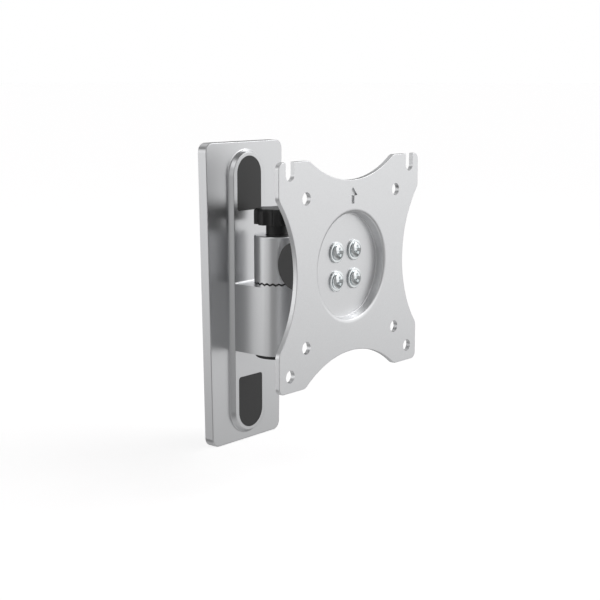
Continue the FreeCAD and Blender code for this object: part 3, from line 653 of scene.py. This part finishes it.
def plate_washer(name, x, z, sizes):
    """Flat ring with rounded edges between a screw's head and the plate."""
    front, back = WASHER_LOW.y, WASHER_HIGH.y
    deselect_all()
    bpy.ops.mesh.primitive_cylinder_add(vertices=WASHER_SIDES, radius=sizes.washer_radius,
                                        depth=back - front, end_fill_type="NOTHING",
                                        location=(x, (front + back) / 2, z),
                                        rotation=(math.pi / 2, 0.0, 0.0))
    washer = bpy.context.object
    washer.name = name
    apply_transforms(washer)
    apply_modifier(washer, "SOLIDIFY", thickness=sizes.washer_radius - sizes.shank_radius,
                   offset=-1.0, use_even_offset=True)
    apply_modifier(washer, "BEVEL", width=sizes.washer_edge, segments=WASHER_EDGE_STEPS,
                   limit_method="ANGLE", angle_limit=SHARP_EDGE)
    make_active(washer)
    bpy.ops.object.shade_smooth_by_angle(angle=WASHER_SMOOTH)
    return washer


# Plate


def merged_copy(node, name):
    """Copy of a CAD node whose triangles are joined."""
    piece = own_copy(frame["nodes"][node], name)
    bpy.ops.mesh.customdata_custom_splitnormals_clear()
    bpy.ops.object.mode_set(mode="EDIT")
    bpy.ops.mesh.select_all(action="SELECT")
    bpy.ops.mesh.remove_doubles(threshold=MERGE_REACH)
    bpy.ops.object.mode_set(mode="OBJECT")
    return piece


def from_dish_axis(place):
    """Distance of a place from the axis of the recess."""
    return math.hypot(place.x - DISH_MIDDLE.x, place.z - DISH_MIDDLE.z)


def select_circle(piece, radius, depth, keep=False, uses_wanted=1):
    """Selects a circle of edges round the recess, by default an open one, in edit mode."""
    if not keep:
        select_faces(piece, lambda polygon: False)
        bpy.ops.object.mode_set(mode="OBJECT")
    uses = [0] * len(piece.data.edges)
    for loop in piece.data.loops:
        uses[loop.edge_index] += 1
    for edge in piece.data.edges:
        places = [piece.data.vertices[index].co for index in edge.vertices]
        if uses[edge.index] == uses_wanted and all(
                abs(from_dish_axis(place) - radius) < NEAR and abs(place.y - depth) < NEAR
                for place in places):
            edge.select = True
            for index in edge.vertices:
                piece.data.vertices[index].select = True
    make_active(piece)
    bpy.ops.object.mode_set(mode="EDIT")
    bpy.ops.mesh.select_mode(type="EDGE")


def dish_profile(sizes):
    """Radius and depth of each ring from the recess's rim down to the end of its slope."""
    rings = []
    reach, depth, turn = sizes.rim_radius, 0.0, 0.0
    for radius, whole_turn in ((sizes.wide_roll, sizes.wide_turn),
                               (sizes.tight_roll, sizes.tight_turn)):
        first_turn = turn
        for step in range(1, sizes.roll_steps + 1):
            new_turn = first_turn + (whole_turn - first_turn) * step / sizes.roll_steps
            reach -= radius * (math.sin(new_turn) - math.sin(turn))
            depth += radius * (math.cos(turn) - math.cos(new_turn))
            turn = new_turn
            rings.append((reach, depth))
    return (*rings, (sizes.slope_radius, sizes.slope_depth))


def roll_dish_wall(piece, sizes):
    """Draws the wall of the recess anew, with a wide roll from the flat front."""
    foot = PLATE_FRONT + sizes.foot_depth

    def in_wall(polygon):
        places = [piece.data.vertices[index].co for index in polygon.vertices]
        reach = [from_dish_axis(place) for place in places]
        depth = [place.y for place in places]
        inside = min(reach) > sizes.foot_radius - NEAR and max(reach) < sizes.rim_radius + NEAR
        return inside and max(depth) < foot + NEAR and max(depth) - min(depth) > MERGE_REACH

    select_faces(piece, in_wall)
    bpy.ops.mesh.delete(type="FACE")
    bpy.ops.object.mode_set(mode="OBJECT")
    select_circle(piece, sizes.rim_radius, PLATE_FRONT)
    reach, depth = sizes.rim_radius, 0.0
    for new_reach, new_depth in dish_profile(sizes):
        bpy.ops.mesh.extrude_edges_move(
            TRANSFORM_OT_translate={"value": (0.0, new_depth - depth, 0.0)})
        bpy.ops.transform.resize(value=(new_reach / reach, 1.0, new_reach / reach),
                                 center_override=(DISH_MIDDLE.x, PLATE_FRONT, DISH_MIDDLE.z))
        reach, depth = new_reach, new_depth
    bpy.ops.object.mode_set(mode="OBJECT")
    select_circle(piece, sizes.foot_radius, foot, keep=True)
    bpy.ops.mesh.bridge_edge_loops()
    bpy.ops.object.mode_set(mode="OBJECT")
    select_circle(piece, sizes.floor_radius, foot, uses_wanted=2)
    bpy.ops.mesh.bevel(offset=sizes.step_edge, segments=DISH_EDGE_STEPS, affect="EDGES")
    bpy.ops.object.mode_set(mode="OBJECT")


# Operators


class TVMOUNT_OT_castings(Operator):
    """Metallic paint on the wall bracket, the swivelling head and the tilting block"""

    bl_idname = "tvmount.castings"
    bl_label = "Silver castings"

    def execute(self, context):
        colours = context.scene.mount_finishes
        silver = finish_material("silver_paint", tuple(colours.silver), colours.silver_roughness,
                                 metallic=1.0, grain=colours.grain_size)
        paint(("wall_bracket", "swivel_head", "tilt_block"), silver)
        return {"FINISHED"}


class TVMOUNT_OT_plate(Operator):
    """Pressed plate whose recess has a widely rolled rim"""

    bl_idname = "tvmount.plate"
    bl_label = "Pressed plate"

    def execute(self, context):
        colours = context.scene.mount_finishes
        silver = finish_material("silver_sheet", tuple(colours.sheet), colours.sheet_roughness,
                                 metallic=1.0, grain=colours.grain_size)
        paint(("vesa_plate",), silver)
        plate = merged_copy("vesa_plate", "pressed_plate")
        roll_dish_wall(plate, context.scene.mount_dish)
        make_active(plate)
        bpy.ops.object.shade_smooth_by_angle(angle=SHEET_SMOOTH)
        apply_modifier(plate, "WEIGHTED_NORMAL", keep_sharp=True)
        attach(plate, "tilt")
        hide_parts("vesa_plate")
        return {"FINISHED"}


class TVMOUNT_OT_covers(Operator):
    """Dark grey plastic on the screw covers and the tilt caps"""

    bl_idname = "tvmount.covers"
    bl_label = "Grey covers"

    def execute(self, context):
        colours = context.scene.mount_finishes
        grey = finish_material("grey_plastic", tuple(colours.cover_grey), roughness=0.4,
                               grain=0.4 * MM, specular=0.65)
        paint(("upper_cover", "lower_cover", "tilt_cap_left", "tilt_cap_right"), grey)
        return {"FINISHED"}


class TVMOUNT_OT_knob(Operator):
    """Black plastic on the knob and the bottom cap"""

    bl_idname = "tvmount.knob"
    bl_label = "Black knob and cap"

    def execute(self, context):
        colours = context.scene.mount_finishes
        black = finish_material("black_plastic", tuple(colours.black), roughness=0.46,
                                grain=0.5 * MM)
        paint(("clamp_knob", "bottom_cap"), black)
        return {"FINISHED"}


class TVMOUNT_OT_inner_metal(Operator):
    """Plain steel on the stud, bolt, nuts, spring and thrust washer"""

    bl_idname = "tvmount.inner_metal"
    bl_label = "Inner steel"

    def execute(self, context):
        colours = context.scene.mount_finishes
        steel = finish_material("plain_steel", tuple(colours.steel), roughness=0.35, metallic=1.0)
        paint(("clamp_nut", "clamp_stud", "thrust_washer", "lift_spring", "tilt_bolt",
               "tilt_nut"), steel)
        return {"FINISHED"}


class TVMOUNT_OT_bushes(Operator):
    """Pale bearing plastic on the bushes and friction washers"""

    bl_idname = "tvmount.bushes"
    bl_label = "Bushes"

    def execute(self, context):
        colours = context.scene.mount_finishes
        bush = finish_material("bush_plastic", tuple(colours.bush), roughness=0.5)
        paint(("swivel_bush", "tilt_bush", "friction_washers"), bush)
        return {"FINISHED"}


class TVMOUNT_OT_spring(Operator):
    """Coil spring between the bracket and the sleeve, which shortens as the clamp closes; this
    piece keeps one fixed shape
    """

    bl_idname = "tvmount.spring"
    bl_label = "Lift spring"

    def execute(self, context):
        spring = merged_copy("lift_spring", "coil_spring")
        bpy.ops.object.parent_clear(type="CLEAR_KEEP_TRANSFORM")
        bpy.ops.object.shade_smooth_by_angle(angle=SHEET_SMOOTH)
        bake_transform(spring)
        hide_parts("lift_spring")
        return {"FINISHED"}


class TVMOUNT_OT_plate_screws(Operator):
    """Four pan-head screws with a cross recess, and their flat washers"""

    bl_idname = "tvmount.plate_screws"
    bl_label = "Plate screws"

    def execute(self, context):
        colours = context.scene.mount_finishes
        sizes = context.scene.mount_screws
        zinc = finish_material("bright_zinc", tuple(colours.zinc), roughness=0.06, metallic=1.0,
                               grain=0.3 * MM)
        inward = SOURCE_HEAD_RADIUS
        first, *others = [Vector((x, 0.0, z)) for z in (SCREW_HIGH.z - inward, SCREW_LOW.z + inward)
                          for x in (SCREW_LOW.x + inward, SCREW_HIGH.x - inward)]
        screw = pan_head_screw("pan_head_screw_1", first.x, first.z, sizes)
        washer = plate_washer("flat_washer_1", first.x, first.z, sizes)
        for piece in (screw, washer):
            piece.data.materials.append(zinc)
        screws, washers = [screw], [washer]
        for number, place in enumerate(others, start=2):
            screws.append(moved_copy(screw, f"pan_head_screw_{number}", place - first))
            washers.append(moved_copy(washer, f"flat_washer_{number}", place - first))
        for pieces, source in ((screws, "plate_screws"), (washers, "plate_washers")):
            for piece in pieces:
                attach(piece, "tilt")
                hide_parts(source)
        return {"FINISHED"}


class TVMOUNT_OT_studio(Operator):
    """White floor, a soft lamp, surrounding light and the camera"""

    bl_idname = "tvmount.studio"
    bl_label = "Studio"

    def execute(self, context):
        settings = context.scene.mount_studio
        make_floor()
        make_surroundings(settings)
        add_lamp("overhead_lamp", OVERHEAD_PLACE, OVERHEAD_SIZE, settings.overhead_power)
        add_camera(settings)
        context.scene.view_settings.view_transform = "Standard"
        return {"FINISHED"}


# Studio


def ray_share(tree, camera, glossy, transmission):
    """Share that a ray gets, by its kind."""
    rays = tree.nodes.new("ShaderNodeLightPath")
    total = None
    for kind, share in (("Is Camera Ray", camera), ("Is Glossy Ray", glossy),
                        ("Is Transmission Ray", transmission)):
        part = tree.nodes.new("ShaderNodeMath")
        part.operation = "MULTIPLY_ADD"
        tree.links.new(rays.outputs[kind], part.inputs[0])
        part.inputs[1].default_value = share
        part.inputs[2].default_value = 0.0
        if total:
            tree.links.new(total, part.inputs[2])
        total = part.outputs["Value"]
    return total


def make_floor():
    """Wide pale floor that keeps the mount's shadow and is white to the camera."""
    deselect_all()
    bpy.ops.mesh.primitive_plane_add(size=FLOOR_SIZE, location=(0.0, 0.0, CAD_LOW.z))
    floor = bpy.context.object
    floor.name = "studio_floor"
    material = bpy.data.materials.new("floor_paper")
    tree, output = emptied_tree(material, "ShaderNodeOutputMaterial")
    paper = tree.nodes.new("ShaderNodeBsdfDiffuse")
    paper.inputs["Color"].default_value = (*FLOOR_PAPER, 1.0)
    glow = tree.nodes.new("ShaderNodeEmission")
    glow.inputs["Color"].default_value = WHITE
    glow.inputs["Strength"].default_value = FLOOR_GLOW
    clear = tree.nodes.new("ShaderNodeBsdfTransparent")
    lit = mix_shaders(tree, ray_share(tree, CAMERA_SHARE, 0.0, 0.0), paper.outputs["BSDF"],
                      glow.outputs["Emission"])
    seen = mix_shaders(tree, ray_share(tree, 0.0, 1.0, 1.0), lit, clear.outputs["BSDF"])
    tree.links.new(seen, output.inputs["Surface"])
    floor.data.materials.append(material)


def panel_light(tree, place, panel):
    """Strength of one soft panel of the surrounding light in the direction looked at."""
    heading, elevation, even, whole = (math.radians(angle) for angle in panel[:-1])
    level = panel[-1]
    middle = Vector((math.sin(heading) * math.cos(elevation),
                     -math.cos(heading) * math.cos(elevation),
                     math.sin(elevation)))
    along = tree.nodes.new("ShaderNodeVectorMath")
    along.operation = "DOT_PRODUCT"
    along.inputs[1].default_value = middle
    tree.links.new(place, along.inputs[0])
    edge = tree.nodes.new("ShaderNodeMapRange")
    edge.interpolation_type = "SMOOTHSTEP"
    edge.inputs["From Min"].default_value = math.cos(whole)
    edge.inputs["From Max"].default_value = math.cos(even)
    edge.inputs["To Max"].default_value = level
    tree.links.new(along.outputs["Value"], edge.inputs["Value"])
    return edge.outputs["Result"]


def make_surroundings(settings):
    """Dim even light with soft panels in it, behind a white background."""
    world = bpy.data.worlds.new("studio_light")
    bpy.context.scene.world = world
    tree, output = emptied_tree(world, "ShaderNodeOutputWorld")
    place = tree.nodes.new("ShaderNodeTexCoord").outputs["Generated"]
    total = None
    for panel in PANELS:
        sum_up = tree.nodes.new("ShaderNodeMath")
        sum_up.operation = "ADD"
        sum_up.inputs[1].default_value = settings.sky_level
        if total:
            tree.links.new(total, sum_up.inputs[1])
        tree.links.new(panel_light(tree, place, panel), sum_up.inputs[0])
        total = sum_up.outputs["Value"]
    light = tree.nodes.new("ShaderNodeBackground")
    tree.links.new(total, light.inputs["Strength"])
    white = tree.nodes.new("ShaderNodeBackground")
    for background in (light, white):
        background.inputs["Color"].default_value = WHITE
    seen = mix_shaders(tree, ray_share(tree, 1.0, GLOSSY_SHARE, 1.0),
                       light.outputs["Background"], white.outputs["Background"])
    tree.links.new(seen, output.inputs["Surface"])


def add_lamp(name, place, size, power):
    """Soft rectangular lamp aimed at the middle of the mount."""
    lamp = bpy.data.lights.new(name, "AREA")
    lamp.shape = "RECTANGLE"
    lamp.size, lamp.size_y = size
    lamp.energy = power
    holder = bpy.data.objects.new(name, lamp)
    bpy.context.scene.collection.objects.link(holder)
    holder.location = place
    middle = (CAD_LOW + CAD_HIGH) / 2
    holder.rotation_euler = (middle - Vector(place)).to_track_quat("-Z", "Y").to_euler()


def add_camera(settings):
    """Camera at the photo's place."""
    camera = bpy.data.cameras.new("studio_camera")
    camera.lens = settings.lens
    holder = bpy.data.objects.new("studio_camera", camera)
    bpy.context.scene.collection.objects.link(holder)
    holder.location = settings.camera_place
    holder.rotation_euler = (math.pi / 2 - settings.camera_pitch, 0.0, -settings.camera_heading)
    bpy.context.scene.camera = holder


# Panel


OPERATORS = (
    TVMOUNT_OT_castings,
    TVMOUNT_OT_plate,
    TVMOUNT_OT_covers,
    TVMOUNT_OT_knob,
    TVMOUNT_OT_inner_metal,
    TVMOUNT_OT_bushes,
    TVMOUNT_OT_spring,
    TVMOUNT_OT_plate_screws,
    TVMOUNT_OT_studio,
)


class TVMOUNT_PT_looks(Panel):
    """Lists the finishes, the screws and the studio"""

    bl_label = "Television mount"
    bl_space_type = "VIEW_3D"
    bl_region_type = "UI"
    bl_category = "TV mount"

    def draw(self, context):
        for operator in OPERATORS:
            self.layout.operator(operator.bl_idname)
        for group in (context.scene.mount_finishes, context.scene.mount_screws,
                      context.scene.mount_dish, context.scene.mount_studio):
            box = self.layout.box()
            for key in group.__annotations__:
                box.prop(group, key)


CLASSES = (MountFinishes, ScrewSizes, DishSizes, StudioSettings, *OPERATORS, TVMOUNT_PT_looks)


def register():
    for cls in CLASSES:
        bpy.utils.register_class(cls)
    bpy.types.Scene.mount_finishes = PointerProperty(type=MountFinishes)
    bpy.types.Scene.mount_screws = PointerProperty(type=ScrewSizes)
    bpy.types.Scene.mount_dish = PointerProperty(type=DishSizes)
    bpy.types.Scene.mount_studio = PointerProperty(type=StudioSettings)


def unregister():
    for name in ("mount_finishes", "mount_screws", "mount_dish", "mount_studio"):
        delattr(bpy.types.Scene, name)
    for cls in reversed(CLASSES):
        bpy.utils.unregister_class(cls)


def main():
    register()
    bpy.ops.tvmount.castings()
    bpy.ops.tvmount.plate()
    bpy.ops.tvmount.covers()
    bpy.ops.tvmount.knob()
    bpy.ops.tvmount.inner_metal()
    bpy.ops.tvmount.bushes()
    bpy.ops.tvmount.spring()
    bpy.ops.tvmount.plate_screws()
    bpy.ops.tvmount.studio()


if __name__ == "__main__":
    main()
